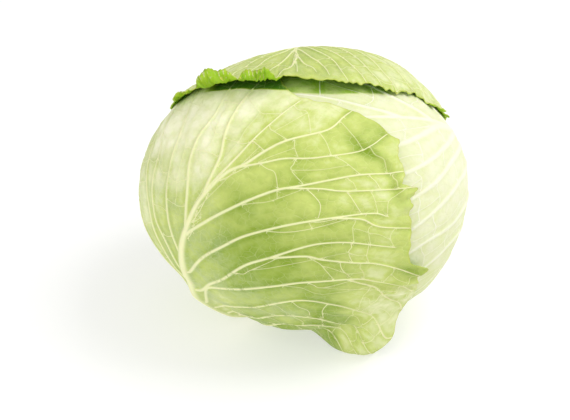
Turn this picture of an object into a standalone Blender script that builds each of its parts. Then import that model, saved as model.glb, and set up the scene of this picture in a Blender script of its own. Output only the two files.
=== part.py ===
"""A flat-headed cabbage, standing on its cut stem.

The head is built the way it grew: a tight inner head on a short stem, wrapped by five large
leaves that follow each other round the stem by the golden angle. Each leaf is a thin closed
shell bent over the head. Units are metres, +Z is up, and the origin is the centre of the cut
face of the stem. The front is -Y.
"""

import math

import bmesh
import bpy
import numpy as np

# The head, measured over the second leaf from the outside.
HEAD_RADIUS = 0.110
HEAD_HALF_HEIGHT = 0.089
HEAD_SINK = 0.001  # how far below the table the round head would reach if it weren't flattened
UNDERSIDE_HEIGHT = 0.003  # what the flattened underside would clear the table by
UNDERSIDE_SOFTNESS = 0.008  # how gradually the round side turns into the flat underside

# Where the round head swells (+) or is flattened (-): degrees down from the crown, degrees round
# to the right from the front, width in degrees, height in metres.
HEAD_SWELLS = (
    (50.0, -135.0, 38.0, -0.0050),
    (65.0, 75.0, 30.0, 0.0020),
    (36.0, 180.0, 24.0, -0.0020),
    (44.0, 137.0, 18.0, 0.0028),
    (62.0, 113.0, 20.0, -0.0018),
    (88.0, -90.0, 26.0, 0.0022),
    (132.0, -52.0, 24.0, -0.0035),
    (127.0, 57.0, 24.0, 0.0050),
)

# The leaves.
LEAF_THICKNESS = 0.0012
LEAF_GAP = 0.0010  # air between a leaf and the next one under it
LEAF_CELLS = 18  # mesh cells across a leaf
GOLDEN_ANGLE = 137.5  # degrees round the stem from each leaf to the next inner one
FIRST_LEAF_AZIMUTH = 180.0  # the outermost leaf grows at the back
NECK_WIDTH = 24.0  # degrees, as seen from a leaf's middle, over which it narrows to its base

# The cut stem.
STEM_RADIUS = 0.0155
STEM_CUT_BEVEL = 0.0012
STEM_SIDES = 32
STEM_CLEARANCE = 0.0008  # between the stem and the leaf bases round it
HEAD_SEAT_GAP = 0.0004  # between the stem's top and the inner head

# The inner head.
INNER_HEAD_SIDES = 40
INNER_HEAD_RINGS = 22

# Each wrapper leaf, from the outside in. level: how many leaves lie above (+) or below (-) the
# surface that HEAD_RADIUS measures. middle: degrees from the crown down to the leaf's middle.
# span: degrees from its middle to its margin. Directions round a leaf are degrees, 0 pointing
# sideways to the right as the leaf is seen from outside, and 90 to its tip. A lobe reaches
# further than the span: (direction, width, extra degrees). A lifted margin stands off the leaf
# below it: (direction, width, height in metres).
LEAVES = (
    dict(
        name="back_leaf",
        level=1,
        middle=75.0,
        span=68.0,
        lobes=((98.0, 46.0, 20.0), (50.0, 22.0, 3.0), (10.0, 16.0, -9.0), (172.0, 14.0, -8.0)),
        lifted=((90.0, 30.0, 0.0040), (50.0, 18.0, 0.0035), (140.0, 25.0, -0.0018)),
    ),
    dict(
        name="front_leaf",
        level=0,
        middle=78.0,
        span=77.0,
        lobes=((80.0, 22.0, -14.0), (50.0, 20.0, 4.0), (-24.0, 15.0, 13.0), (-51.0, 15.0, 19.0)),
        lifted=((2.0, 16.0, 0.0030),),
    ),
    dict(
        name="right_leaf",
        level=-1,
        middle=75.0,
        span=80.0,
        lobes=((110.0, 30.0, 14.0),),
        lifted=(),
    ),
    dict(name="back_left_leaf", level=-2, middle=76.0, span=76.0, lobes=(), lifted=()),
    dict(name="front_right_leaf", level=-3, middle=76.0, span=76.0, lobes=(), lifted=()),
)
INNER_HEAD_LEVEL = -4
LIFTED_FROM = 0.84  # share of the way from a leaf's middle to its margin where it lifts

# The front leaf's lowest lobe leaves the head and hangs down to the table.
FLAP_LEAF = "front_leaf"
FLAP_DIRECTION = -51.0  # degrees round the leaf
FLAP_WIDTH = 17.0
FLAP_FROM = 74.0  # degrees from the leaf's middle to where it starts to leave the head
FLAP_OVER = 20.0  # degrees in which it reaches its full swing
FLAP_SWING = (0.000, -0.016, -0.020)
FLAP_CLEARANCE = 0.0006  # under the lobe, where it lies on the table
FLAP_SOFTNESS = 0.002  # how gradually the lobe turns onto the table

# Surface colours, as linear red, green and blue.
OUTER_GREEN = (0.50, 0.62, 0.19)
PALE_GREEN = (0.78, 0.82, 0.45)
STEM_CREAM = (0.80, 0.76, 0.52)


def clear_scene():
    for existing in list(bpy.data.objects):
        bpy.data.objects.remove(existing)


def leaf_pitch():
    """From one leaf's outer face to the next one's."""
    return LEAF_THICKNESS + LEAF_GAP


def head_centre_height():
    return HEAD_HALF_HEIGHT - HEAD_SINK


def smooth_step(value):
    share = np.clip(value, 0.0, 1.0)
    return share * share * (3.0 - 2.0 * share)


def smooth_maximum(first, second, softness):
    return 0.5 * (first + second + np.sqrt((first - second) ** 2 + softness**2))


def direction_of(down, turn):
    """Unit vector this many degrees down from the crown and round to the right from the front."""
    down, turn = np.radians(down), np.radians(turn)
    return np.stack([np.sin(down) * np.sin(turn), -np.sin(down) * np.cos(turn), np.cos(down)], -1)


def head_surface(directions, lift):
    """Points of the head in these directions from its centre, lift metres off its surface."""
    radii = np.array([HEAD_RADIUS, HEAD_RADIUS, HEAD_HALF_HEIGHT])
    normals = directions / radii
    normals /= np.linalg.norm(normals, axis=-1, keepdims=True)
    lift = np.broadcast_to(lift, directions.shape[:-1])
    raised = lift + 0.0
    for down, turn, width, height in HEAD_SWELLS:
        away = np.degrees(np.arccos(np.clip(directions @ direction_of(down, turn), -1.0, 1.0)))
        raised = raised + height * np.exp(-((away / width) ** 2))
    points = directions * radii + normals * raised[..., None]
    points[..., 2] += head_centre_height()
    points[..., 2] = smooth_maximum(points[..., 2], UNDERSIDE_HEIGHT - lift, UNDERSIDE_SOFTNESS)
    return points


def leaf_axes(middle, azimuth):
    """Unit vectors to a leaf's middle, across the leaf and along it towards the crown."""
    centre = direction_of(middle, azimuth)
    along = direction_of(middle - 90.0, azimuth)
    return centre, np.cross(along, centre), along


def disc_grid(cells):
    """Angle and radius of points on a unit disc, laid out as a square grid of cells."""
    side = np.linspace(-1.0, 1.0, cells + 1)
    across, along = np.meshgrid(side, side, indexing="ij")
    wide = np.abs(across) > np.abs(along)
    largest = np.where(wide, across, along)
    divisor = np.where(largest == 0.0, 1.0, largest)
    turn = np.where(
        wide,
        math.pi / 4 * along / divisor,
        math.pi / 2 - math.pi / 4 * across / divisor,
    )
    angle = np.degrees(np.arctan2(largest * np.sin(turn), largest * np.cos(turn)))
    return angle, np.abs(largest)


def angle_between(angle, other):
    """Signed difference of two angles in degrees, from -180 to 180."""
    return (angle - other + 180.0) % 360.0 - 180.0


def bell(angle, middle, width):
    return np.exp(-((angle_between(angle, middle) / width) ** 2))


def leaf_outline(leaf, angle):
    """Degrees from the leaf's middle to its margin, at each angle round it."""
    inner_lift = leaf["level"] * leaf_pitch() - LEAF_THICKNESS
    base_radius = HEAD_RADIUS + inner_lift * HEAD_HALF_HEIGHT / HEAD_RADIUS
    stem_edge = math.degrees(math.asin((STEM_RADIUS + STEM_CLEARANCE) / base_radius))
    neck = 180.0 - leaf["middle"] - stem_edge
    reach = leaf["span"] + 0.0 * angle
    for direction, width, extra in leaf["lobes"]:
        reach = reach + extra * bell(angle, direction, width)
    base = bell(angle, -90.0, NECK_WIDTH)
    return reach + (neck - reach) * base


def leaf_lift(leaf, angle, share):
    """How far the leaf's outer face stands off the surface that HEAD_RADIUS measures."""
    free = smooth_step((share - LIFTED_FROM) / (1.0 - LIFTED_FROM))
    lift = leaf["level"] * leaf_pitch() + 0.0 * angle
    for direction, width, height in leaf["lifted"]:
        lift = lift + height * free * bell(angle, direction, width)
    return lift


def hang_flap(points, angle, reach, depth):
    """Swings the front leaf's lowest lobe out from the head and down to the table."""
    free = smooth_step((reach - FLAP_FROM) / FLAP_OVER)
    weight = free * bell(angle, FLAP_DIRECTION, FLAP_WIDTH)
    points = points + weight[..., None] * np.array(FLAP_SWING)
    points[..., 2] = smooth_maximum(points[..., 2], FLAP_CLEARANCE + depth, FLAP_SOFTNESS)
    return points


def leaf_face(leaf, azimuth, angle, share, depth):
    """Points of one face of a leaf, depth metres under its outer face."""
    reach = share * leaf_outline(leaf, angle)
    centre, across, along = leaf_axes(leaf["middle"], azimuth)
    turned = np.radians(angle)[..., None]
    sideways = np.cos(turned) * across + np.sin(turned) * along
    bent = np.radians(reach)[..., None]
    directions = np.cos(bent) * centre + np.sin(bent) * sideways
    points = head_surface(directions, leaf_lift(leaf, angle, share) - depth)
    if leaf["name"] == FLAP_LEAF:
        points = hang_flap(points, angle, reach, depth)
    return points


def shell_faces(cells):
    """Quads of an outer grid, an inner grid and the rim that joins them."""
    index = np.arange((cells + 1) ** 2).reshape(cells + 1, cells + 1)
    outer = np.stack([index[:-1, :-1], index[1:, :-1], index[1:, 1:], index[:-1, 1:]], -1)
    outer = outer.reshape(-1, 4)
    inner = outer[:, ::-1] + index.size
    edge = np.concatenate([index[:-1, 0], index[-1, :-1], index[:0:-1, -1], index[0, :0:-1]])
    following = np.roll(edge, -1)
    rim = np.stack([edge, edge + index.size, following + index.size, following], -1)
    return np.concatenate([outer, inner, rim]).tolist()


def add_material(piece, name, colour, roughness):
    material = bpy.data.materials.new(name)
    material.use_nodes = True
    shader = material.node_tree.nodes["Principled BSDF"]
    shader.inputs["Base Color"].default_value = (*colour, 1.0)
    shader.inputs["Roughness"].default_value = roughness
    shader.inputs["Metallic"].default_value = 0.0
    piece.data.materials.append(material)


def add_piece(name, points, faces, colour, roughness):
    mesh = bpy.data.meshes.new(name)
    mesh.from_pydata([tuple(point) for point in points], [], faces)
    shaped = bmesh.new()
    shaped.from_mesh(mesh)
    bmesh.ops.triangulate(shaped, faces=shaped.faces)
    bmesh.ops.recalc_face_normals(shaped, faces=shaped.faces)
    shaped.to_mesh(mesh)
    shaped.free()
    mesh.shade_smooth()
    piece = bpy.data.objects.new(name, mesh)
    bpy.context.scene.collection.objects.link(piece)
    add_material(piece, name, colour, roughness)
    return piece


def build_leaf(leaf, azimuth, colour):
    angle, share = disc_grid(LEAF_CELLS)
    outer = leaf_face(leaf, azimuth, angle, share, 0.0)
    inner = leaf_face(leaf, azimuth, angle, share, LEAF_THICKNESS)
    points = np.concatenate([outer.reshape(-1, 3), inner.reshape(-1, 3)])
    return add_piece(leaf["name"], points, shell_faces(LEAF_CELLS), colour, 0.45)


def inner_head_bottom():
    lift = INNER_HEAD_LEVEL * leaf_pitch()
    return float(head_surface(np.array([[0.0, 0.0, -1.0]]), lift)[0, 2])


def build_inner_head():
    """The tight heart of the head, as one round solid with poles at the crown and the stem."""
    lift = INNER_HEAD_LEVEL * leaf_pitch()
    down = np.linspace(0.0, 180.0, INNER_HEAD_RINGS + 1)[1:-1]
    turn = np.arange(INNER_HEAD_SIDES) * 360.0 / INNER_HEAD_SIDES
    rings = direction_of(*np.meshgrid(down, turn, indexing="ij"))
    poles = np.array([[0.0, 0.0, 1.0], [0.0, 0.0, -1.0]])
    points = head_surface(np.concatenate([rings.reshape(-1, 3), poles]), lift)
    index = np.arange(rings.shape[0] * INNER_HEAD_SIDES).reshape(rings.shape[0], INNER_HEAD_SIDES)
    beside = np.roll(index, -1, axis=1)
    sides = np.stack([index[:-1], index[1:], beside[1:], beside[:-1]], -1).reshape(-1, 4)
    crown, stem = index.size, index.size + 1
    caps = [(crown, a, b) for a, b in zip(index[0], beside[0])]
    caps += [(stem, b, a) for a, b in zip(index[-1], beside[-1])]
    return add_piece("inner_head", points, sides.tolist() + caps, PALE_GREEN, 0.5)


def build_cut_stem():
    """The stub of the stem, cut off square with a slightly worn edge."""
    top = inner_head_bottom() - HEAD_SEAT_GAP
    profile = (
        (STEM_RADIUS - STEM_CUT_BEVEL, 0.0),
        (STEM_RADIUS, STEM_CUT_BEVEL),
        (STEM_RADIUS, top - STEM_CUT_BEVEL),
        (STEM_RADIUS - STEM_CUT_BEVEL, top),
    )
    points, faces = [], []
    for radius, height in profile:
        for side in range(STEM_SIDES):
            turn = math.tau * side / STEM_SIDES
            points.append((radius * math.cos(turn), radius * math.sin(turn), height))
    for ring in range(len(profile) - 1):
        for side in range(STEM_SIDES):
            beside = (side + 1) % STEM_SIDES
            low, high = ring * STEM_SIDES, (ring + 1) * STEM_SIDES
            faces.append((low + side, low + beside, high + beside, high + side))
    faces.append(tuple(reversed(range(STEM_SIDES))))
    faces.append(tuple(range(len(points) - STEM_SIDES, len(points))))
    return add_piece("cut_stem", points, faces, STEM_CREAM, 0.6)


def build_cabbage():
    clear_scene()
    build_inner_head()
    build_cut_stem()
    for place, leaf in enumerate(LEAVES):
        azimuth = FIRST_LEAF_AZIMUTH + place * GOLDEN_ANGLE
        colour = OUTER_GREEN if leaf["level"] >= 0 else PALE_GREEN
        build_leaf(leaf, azimuth, colour)


build_cabbage()
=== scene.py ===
import math

import bpy
import numpy as np
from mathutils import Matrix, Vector


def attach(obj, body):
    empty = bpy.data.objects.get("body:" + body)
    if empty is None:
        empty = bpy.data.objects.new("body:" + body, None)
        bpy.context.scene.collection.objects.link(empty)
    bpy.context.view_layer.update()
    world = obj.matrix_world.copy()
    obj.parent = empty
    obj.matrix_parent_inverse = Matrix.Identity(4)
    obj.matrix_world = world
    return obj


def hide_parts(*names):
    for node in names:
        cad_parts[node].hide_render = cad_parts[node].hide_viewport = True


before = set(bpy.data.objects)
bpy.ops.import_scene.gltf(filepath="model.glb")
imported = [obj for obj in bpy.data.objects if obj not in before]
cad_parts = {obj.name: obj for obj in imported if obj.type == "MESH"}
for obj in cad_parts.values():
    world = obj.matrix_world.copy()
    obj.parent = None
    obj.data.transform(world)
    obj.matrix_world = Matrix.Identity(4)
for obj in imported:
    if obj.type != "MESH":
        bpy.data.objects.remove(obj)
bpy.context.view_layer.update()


# Table and light ----------------------------------------------------------------------------
# The head stands on a plain white table in a bright studio: one broad lamp high on the right,
# a weaker one on the left, and white all round. Nothing here belongs to the cabbage.
TABLE_SIZE = 8.0
TABLE_WHITE = (0.58, 0.58, 0.58)
TABLE_GLOW = 0.46  # the table is a sheet lit from below, so that shadows on it stay pale
STUDIO_STRENGTH = 0.62
KEY_SIZE, KEY_WATTS = 1.0, 13.8
FILL_SIZE, FILL_WATTS = 1.2, 8.5
HEAD_CENTRE = Vector((0.0, 0.0, 0.088))

bpy.ops.mesh.primitive_plane_add(size=TABLE_SIZE)
table = bpy.context.object
table.name = "table"
table_white = bpy.data.materials.new("table_white")
table_white.use_nodes = True
table_shader = table_white.node_tree.nodes["Principled BSDF"]
table_shader.inputs["Base Color"].default_value = (*TABLE_WHITE, 1.0)
table_shader.inputs["Roughness"].default_value = 0.75
table_shader.inputs["Emission Color"].default_value = (1.0, 1.0, 1.0, 1.0)
table_shader.inputs["Emission Strength"].default_value = TABLE_GLOW
table_shader.inputs["Specular IOR Level"].default_value = 0.2
table.data.materials.append(table_white)

studio = bpy.data.worlds.new("studio")
studio.use_nodes = True
studio.node_tree.nodes["Background"].inputs["Color"].default_value = (1.0, 1.0, 1.0, 1.0)
studio.node_tree.nodes["Background"].inputs["Strength"].default_value = STUDIO_STRENGTH
bpy.context.scene.world = studio
bpy.context.scene.view_settings.view_transform = "Standard"
bpy.context.scene.view_settings.look = "None"


def hang_lamp(name, place, size, watts):
    """A square soft lamp that faces the middle of the head."""
    lamp = bpy.data.lights.new(name, "AREA")
    lamp.shape = "SQUARE"
    lamp.size = size
    lamp.energy = watts
    holder = bpy.data.objects.new(name, lamp)
    holder.location = place
    holder.rotation_euler = (HEAD_CENTRE - holder.location).to_track_quat("-Z", "Y").to_euler()
    bpy.context.scene.collection.objects.link(holder)


hang_lamp("key_lamp", Vector((0.85, 0.05, 1.25)), KEY_SIZE, KEY_WATTS)
hang_lamp("fill_lamp", Vector((-0.9, -1.1, 0.9)), FILL_SIZE, FILL_WATTS)

# The camera looks 30 degrees down on the front, with the head a little right of the middle.
camera_data = bpy.data.cameras.new("camera")
camera_data.lens = 100.0
camera_data.sensor_width = 36.0
camera = bpy.data.objects.new("camera", camera_data)
camera.location = (0.0, -0.9258, 0.6225)
look_at = Vector((-0.01337, -0.00844, 0.07338))
camera.rotation_euler = (look_at - camera.location).to_track_quat("-Z", "Y").to_euler()
bpy.context.scene.collection.objects.link(camera)
bpy.context.scene.camera = camera


# Inner head -----------------------------------------------------------------------------------
# The heart of the cabbage: dozens of pale leaves folded so tightly over each other that they
# make one firm ball. It shows only between the leaf bases underneath.
HEAD_RADIUS = 0.110
HEAD_HALF_HEIGHT = 0.089
HEAD_RADII = np.array([HEAD_RADIUS, HEAD_RADIUS, HEAD_HALF_HEIGHT])
HEAD_SINK = 0.001
UNDERSIDE_HEIGHT = 0.003
UNDERSIDE_SOFTNESS = 0.008
LEAF_PITCH = 0.0022
INNER_HEAD_LEVEL = -4
# Where the head swells (+) or is flattened (-): degrees down from the crown, degrees round to
# the right from the front, width in degrees, height in metres.
HEAD_SWELLS = (
    (50.0, -135.0, 38.0, -0.0050),
    (65.0, 75.0, 30.0, 0.0020),
    (36.0, 180.0, 24.0, -0.0020),
    (44.0, 137.0, 18.0, 0.0028),
    (62.0, 113.0, 20.0, -0.0018),
    (88.0, -90.0, 26.0, 0.0022),
    (132.0, -52.0, 24.0, -0.0035),
    (127.0, 57.0, 24.0, 0.0050),
)


def smooth_step(value):
    share = np.clip(value, 0.0, 1.0)
    return share * share * (3.0 - 2.0 * share)


def smooth_maximum(first, second, softness):
    return 0.5 * (first + second + np.sqrt((first - second) ** 2 + softness**2))


def unit(vectors):
    return vectors / np.maximum(np.linalg.norm(vectors, axis=-1, keepdims=True), 1e-9)


def direction_of(down, turn):
    """Unit vector this many degrees down from the crown and round to the right from the front."""
    down, turn = np.radians(down), np.radians(turn)
    return np.stack([np.sin(down) * np.sin(turn), -np.sin(down) * np.cos(turn), np.cos(down)], -1)


def head_surface(directions, lift):
    """Points lift metres off the head in these directions, and the normals there."""
    normals = unit(directions / HEAD_RADII)
    raised = lift + 0.0
    for down, turn, width, height in HEAD_SWELLS:
        away = np.degrees(np.arccos(np.clip(directions @ direction_of(down, turn), -1.0, 1.0)))
        raised = raised + height * np.exp(-((away / width) ** 2))
    points = directions * HEAD_RADII + normals * raised[..., None]
    points[..., 2] += HEAD_HALF_HEIGHT - HEAD_SINK
    points[..., 2] = smooth_maximum(points[..., 2], UNDERSIDE_HEIGHT - lift, UNDERSIDE_SOFTNESS)
    return points, normals


def waves(places, seed, wavelength, count=14):
    """A smooth random field from about -1 to 1, made of plane waves of this wavelength."""
    rng = np.random.default_rng(seed)
    headings = unit(rng.normal(size=(count, places.shape[-1])))
    lengths = wavelength * rng.uniform(0.75, 1.35, count)
    phases = rng.uniform(0.0, math.tau, count)
    total = np.zeros(places.shape[:-1])
    for heading, length, phase in zip(headings, lengths, phases):
        total += np.cos((places @ heading) * (math.tau / length) + phase)
    return total * math.sqrt(2.0 / count)


def disc_grid(cells):
    """Angle and radius of points on a unit disc, laid out as a square grid of cells."""
    side = np.linspace(-1.0, 1.0, cells + 1)
    across, along = np.meshgrid(side, side, indexing="ij")
    wide = np.abs(across) > np.abs(along)
    largest = np.where(wide, across, along)
    divisor = np.where(largest == 0.0, 1.0, largest)
    turn = np.where(
        wide,
        math.pi / 4 * along / divisor,
        math.pi / 2 - math.pi / 4 * across / divisor,
    )
    angle = np.degrees(np.arctan2(largest * np.sin(turn), largest * np.cos(turn)))
    return angle, np.abs(largest)


def grid_quads(index):
    quads = np.stack([index[:-1, :-1], index[1:, :-1], index[1:, 1:], index[:-1, 1:]], -1)
    return quads.reshape(-1, 4)


def grid_edge(index):
    """The points round the edge of a grid, in order."""
    return np.concatenate([index[:-1, 0], index[-1, :-1], index[:0:-1, -1], index[0, :0:-1]])


def mesh_piece(name, points, quads, triangles=()):
    """A smooth mesh object made from arrays of points, quads and triangles."""
    quads = np.asarray(quads, np.int32).reshape(-1, 4)
    triangles = np.asarray(triangles, np.int32).reshape(-1, 3)
    corners = np.concatenate([quads.ravel(), triangles.ravel()])
    sizes = np.concatenate([np.full(len(quads), 4), np.full(len(triangles), 3)])
    starts = np.concatenate([[0], np.cumsum(sizes)[:-1]])
    mesh = bpy.data.meshes.new(name)
    mesh.vertices.add(len(points))
    mesh.vertices.foreach_set("co", np.asarray(points, np.float32).ravel())
    mesh.loops.add(len(corners))
    mesh.loops.foreach_set("vertex_index", corners.astype(np.int32))
    mesh.polygons.add(len(sizes))
    mesh.polygons.foreach_set("loop_start", starts.astype(np.int32))
    mesh.polygons.foreach_set("use_smooth", np.ones(len(sizes), bool))
    mesh.update(calc_edges=True)
    mesh.validate()
    piece = bpy.data.objects.new(name, mesh)
    bpy.context.scene.collection.objects.link(piece)
    return piece


def add_vectors(piece, name, values):
    layer = piece.data.attributes.new(name, "FLOAT_VECTOR", "POINT")
    layer.data.foreach_set("vector", np.asarray(values, np.float32).ravel())


def place_uv(piece, plane):
    """Gives the piece its own unwrapped layer from one flat place per point."""
    layer = piece.data.uv_layers.new(name="OFBake")
    corners = np.empty(len(piece.data.loops), np.int32)
    piece.data.loops.foreach_get("vertex_index", corners)
    layer.data.foreach_set("uv", plane[corners].astype(np.float32).ravel())


def colour_of(red, green, blue):
    """Screen values from 0 to 255 as the linear colour that a shader takes."""
    shares = np.array([red, green, blue]) / 255.0
    linear = np.where(shares <= 0.04045, shares / 12.92, ((shares + 0.055) / 1.055) ** 2.4)
    return (*(float(value) for value in linear), 1.0)


def feed(tree, socket, value):
    """Gives a socket its value, or links it to the socket that the value comes from."""
    if isinstance(value, bpy.types.NodeSocket):
        tree.links.new(value, socket)
    else:
        socket.default_value = value


def add_node(tree, kind, settings=None, **inputs):
    """Adds a node and feeds its inputs. In their names _ stands for a space, and i0 is the first."""
    made = tree.nodes.new(kind)
    for name, value in (settings or {}).items():
        setattr(made, name, value)
    for name, value in inputs.items():
        key = int(name[1:]) if name[0] == "i" and name[1:].isdigit() else name.replace("_", " ")
        feed(tree, made.inputs[key], value)
    return made


def calculate(tree, operation, *values):
    made = tree.nodes.new("ShaderNodeMath")
    made.operation = operation
    for socket, value in zip(made.inputs, values):
        feed(tree, socket, value)
    return made.outputs[0]


def ramp_between(tree, value, low, high):
    """0 where the value is at low, 1 where it is at high, and smooth between."""
    smooth = dict(interpolation_type="SMOOTHSTEP")
    made = add_node(tree, "ShaderNodeMapRange", smooth, Value=value, From_Min=low, From_Max=high)
    return made.outputs["Result"]


def mix_colour(tree, share, first, second):
    made = tree.nodes.new("ShaderNodeMix")
    made.data_type = "RGBA"
    for place, value in ((0, share), (6, first), (7, second)):
        feed(tree, made.inputs[place], value)
    return made.outputs[2]


def new_group(name, inputs, outputs):
    """An empty node group with its sockets, and its tree's input and output nodes."""
    group = bpy.data.node_groups.new(name, "ShaderNodeTree")
    for direction, sockets in (("INPUT", inputs), ("OUTPUT", outputs)):
        for label, kind in sockets:
            group.interface.new_socket(label, in_out=direction, socket_type="NodeSocket" + kind)
    return group, group.nodes.new("NodeGroupInput"), group.nodes.new("NodeGroupOutput")


# The net of fine veins that all cabbage leaves have: pale lines round small cells, with the
# tissue of each cell a little puffed up and a little different in colour.
net_group, net_in, net_out = new_group(
    "fine_vein_net",
    (("Place", "Vector"), ("Cell Size", "Float")),
    (("Lines", "Float"), ("Fine Lines", "Float"), ("Puff", "Float"), ("Tint", "Float")),
)


def make_net_group():
    tree = net_group
    shrink = calculate(tree, "DIVIDE", 1.0, net_in.outputs["Cell Size"])
    place = add_node(
        tree, "ShaderNodeVectorMath", dict(operation="SCALE"), Vector=net_in.outputs["Place"], Scale=shrink
    ).outputs[0]
    bend = add_node(tree, "ShaderNodeTexNoise", Vector=place, Scale=0.8, Detail=2.0).outputs["Color"]
    pushed = add_node(
        tree, "ShaderNodeVectorMath", dict(operation="MULTIPLY_ADD"), i0=bend, i1=(0.9, 0.9, 0.0), i2=place
    ).outputs[0]
    edges = dict(feature="DISTANCE_TO_EDGE", voronoi_dimensions="2D")
    coarse, fine = (
        add_node(tree, "ShaderNodeTexVoronoi", edges, Vector=pushed, Scale=scale).outputs["Distance"]
        for scale in (1.0, 3.1)
    )
    cell = add_node(
        tree, "ShaderNodeTexVoronoi", dict(voronoi_dimensions="2D"), Vector=pushed, Scale=1.0
    ).outputs["Color"]
    tree.links.new(ramp_between(tree, coarse, 0.055, 0.0), net_out.inputs["Lines"])
    tree.links.new(ramp_between(tree, fine, 0.10, 0.0), net_out.inputs["Fine Lines"])
    tree.links.new(ramp_between(tree, coarse, 0.0, 0.28), net_out.inputs["Puff"])
    red = add_node(tree, "ShaderNodeSeparateColor", Color=cell).outputs[0]
    tree.links.new(red, net_out.inputs["Tint"])


make_net_group()

# The waxy bloom: a thin grey film that lies in clouds and is rubbed off here and there.
bloom_group, bloom_in, bloom_out = new_group(
    "wax_bloom", (("Place", "Vector"), ("Amount", "Float")), (("Mask", "Float"), ("Grain", "Float"))
)


def make_bloom_group():
    tree = bloom_group
    clouds = add_node(
        tree, "ShaderNodeTexNoise", Vector=bloom_in.outputs["Place"], Scale=0.055, Detail=4.0, Roughness=0.6
    ).outputs["Fac"]
    streaks = add_node(
        tree, "ShaderNodeTexNoise", Vector=bloom_in.outputs["Place"], Scale=0.5, Detail=3.0
    ).outputs["Fac"]
    both = calculate(tree, "MULTIPLY_ADD", streaks, 0.35, calculate(tree, "MULTIPLY", clouds, 0.65))
    shaped = ramp_between(tree, both, 0.36, 0.64)
    tree.links.new(
        calculate(tree, "MULTIPLY", shaped, bloom_in.outputs["Amount"]), bloom_out.inputs["Mask"]
    )
    grain = add_node(
        tree, "ShaderNodeTexNoise", Vector=bloom_in.outputs["Place"], Scale=2.2, Detail=2.0
    ).outputs["Fac"]
    tree.links.new(grain, bloom_out.inputs["Grain"])


make_bloom_group()

SOFT_EDGE = 1.25  # half widths from the middle of a rib to the outside of its soft edge
NET_CELL = 5.2  # millimetres across a cell of the fine vein net
LEAF_ROUGHNESS = 0.42
BUMP_DEPTH = 0.0012
MARGIN_YELLOW = (0.55, 0.60, 0.08, 1.0)
# Painted deep shade: the dark green that the tissue turns where its green goes past 1.
SHADE_GREEN = colour_of(66, 112, 22)


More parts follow.
